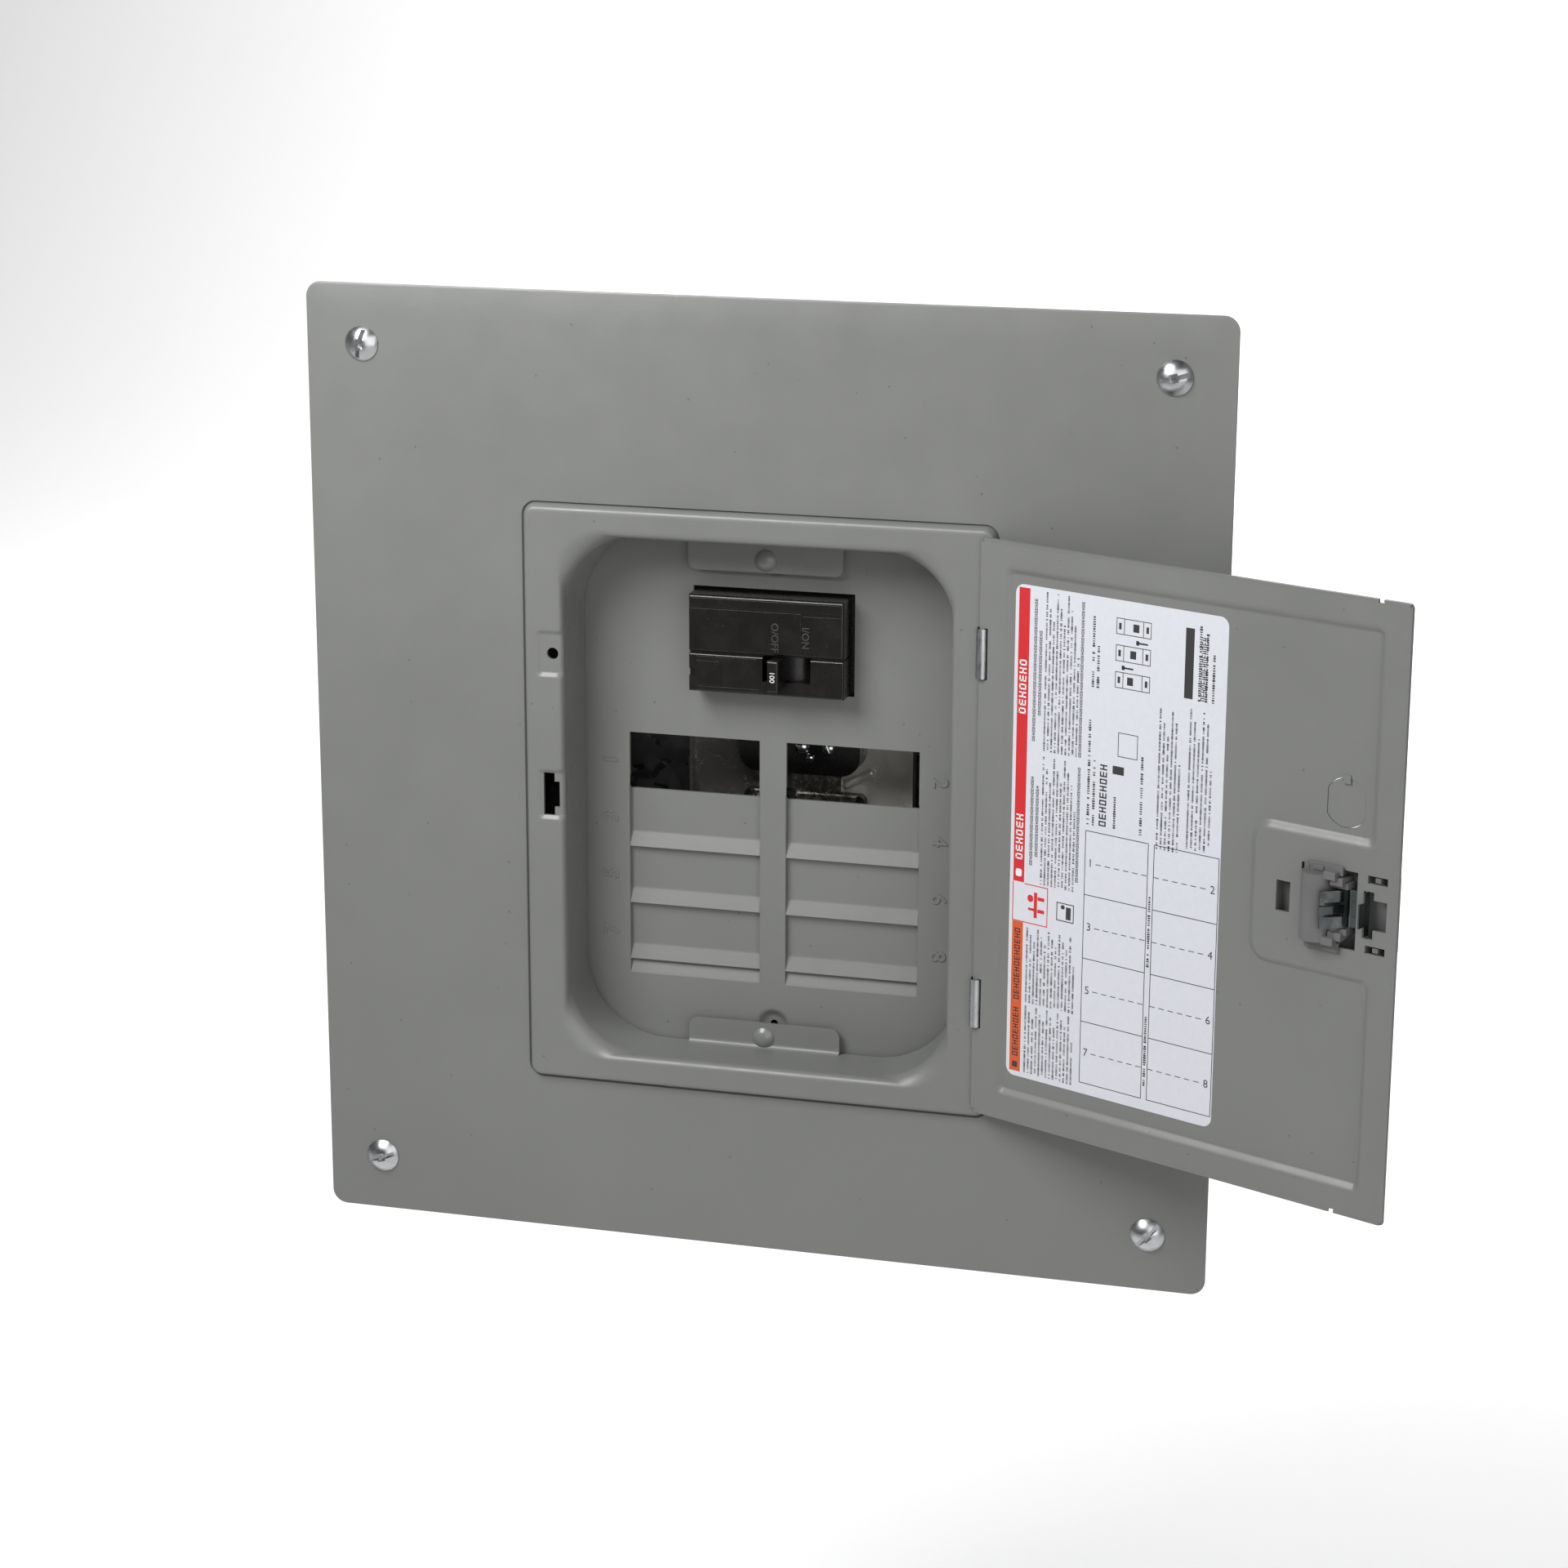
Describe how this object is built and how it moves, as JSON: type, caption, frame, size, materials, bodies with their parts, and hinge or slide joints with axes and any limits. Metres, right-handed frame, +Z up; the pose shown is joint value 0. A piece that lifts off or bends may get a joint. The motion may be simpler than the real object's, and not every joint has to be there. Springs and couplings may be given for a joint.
{
  "type": "residential load center",
  "caption": "Flush wall panel box with bus interior, main breaker with toggle, screwed cover and a hinged latching door.",
  "frame": {"origin": "centre of the enclosure's back face, on the wall plane", "axes": "+Z up, +X to the right seen from the room, -Y out of the wall towards the room"},
  "size_m": [0.4711, 0.1825, 0.41],
  "materials": {
    "painted_steel": "satin grey enamel",
    "galvanised_steel": "galvanised sheet",
    "zinc_hardware": "bright zinc plate",
    "grey_rivet": "dull grey",
    "breaker_moulding": "near-black moulded plastic",
    "black_insulator": "matt black moulding",
    "tinned_bus": "bright tin plate",
    "lug_aluminium": "extruded, tin plated",
    "copper": "bare copper",
    "green_screw": "green dyed zinc",
    "latch_plastic": "warm grey nylon",
    "label_vinyl": "printed white vinyl"
  },
  "bodies": {
    "root": {"cover_trim": "painted_steel", "dead_front": "painted_steel", "enclosure_box": "galvanised_steel", "mounting_pan": "galvanised_steel", "hook_rails": "galvanised_steel", "cover_screws": "zinc_hardware", "pan_screws": "zinc_hardware", "breaker_base_screws": "zinc_hardware", "bus_insulator_screws": "zinc_hardware", "hinge_clip_upper": "zinc_hardware", "hinge_clip_lower": "zinc_hardware", "neutral_bar_screws": "zinc_hardware", "neutral_lug_screw": "zinc_hardware", "line_lug_screws": "zinc_hardware", "ground_bar_screws": "zinc_hardware", "main_breaker_rivets": "zinc_hardware", "handle_pin": "zinc_hardware", "contact_arm_pin": "zinc_hardware", "dead_front_rivets": "grey_rivet", "main_breaker_case": "breaker_moulding", "main_breaker_base": "breaker_moulding", "bus_insulator": "black_insulator", "neutral_stand_offs": "black_insulator", "bus_bar_left": "tinned_bus", "bus_bar_right": "tinned_bus", "bus_stabs": "tinned_bus", "neutral_strap": "tinned_bus", "line_lugs": "lug_aluminium", "neutral_lug": "lug_aluminium", "neutral_bar_left": "lug_aluminium", "neutral_bar_right": "lug_aluminium", "ground_bar": "lug_aluminium", "fixed_contacts": "copper", "line_lug_straps": "copper", "neutral_lug_bracket": "copper", "bonding_screw": "green_screw", "ground_bar_mounting_screws": "green_screw"},
    "door": {"door_panel": "painted_steel", "lock_knockout": "painted_steel", "door_label": "label_vinyl"},
    "latch": {"latch_slide": "latch_plastic", "latch_catch": "zinc_hardware"},
    "handle": {"breaker_handle": "breaker_moulding"},
    "arms": {"contact_arms": "copper"}
  },
  "joints": [
    {"name": "door_hinge", "type": "hinge", "parent": "root", "child": "door", "pos_m": [0.0964, -0.09965, 0], "axis": [0, 0, 1], "range_deg": [-155.3, 19.7]},
    {"name": "latch_slide", "type": "slide", "parent": "door", "child": "latch", "axis": [0.9085, -0.4179, 0], "range_m": [0, 0.0026], "stiffness_N_per_m": 400},
    {"name": "main_handle", "type": "hinge", "parent": "root", "child": "handle", "pos_m": [0.0089, -0.06225, 0.0466], "axis": [0, 0, 1], "range_deg": [0, 20]},
    {"name": "contact_arms_pivot", "type": "hinge", "parent": "root", "child": "arms", "pos_m": [-0.013, -0.04325, 0.076], "axis": [0, 0, 1], "range_deg": [0, 24]}
  ],
  "couplings": [
    {"joint": "contact_arms_pivot", "follows": "main_handle", "ratio": 1.2}
  ]
}
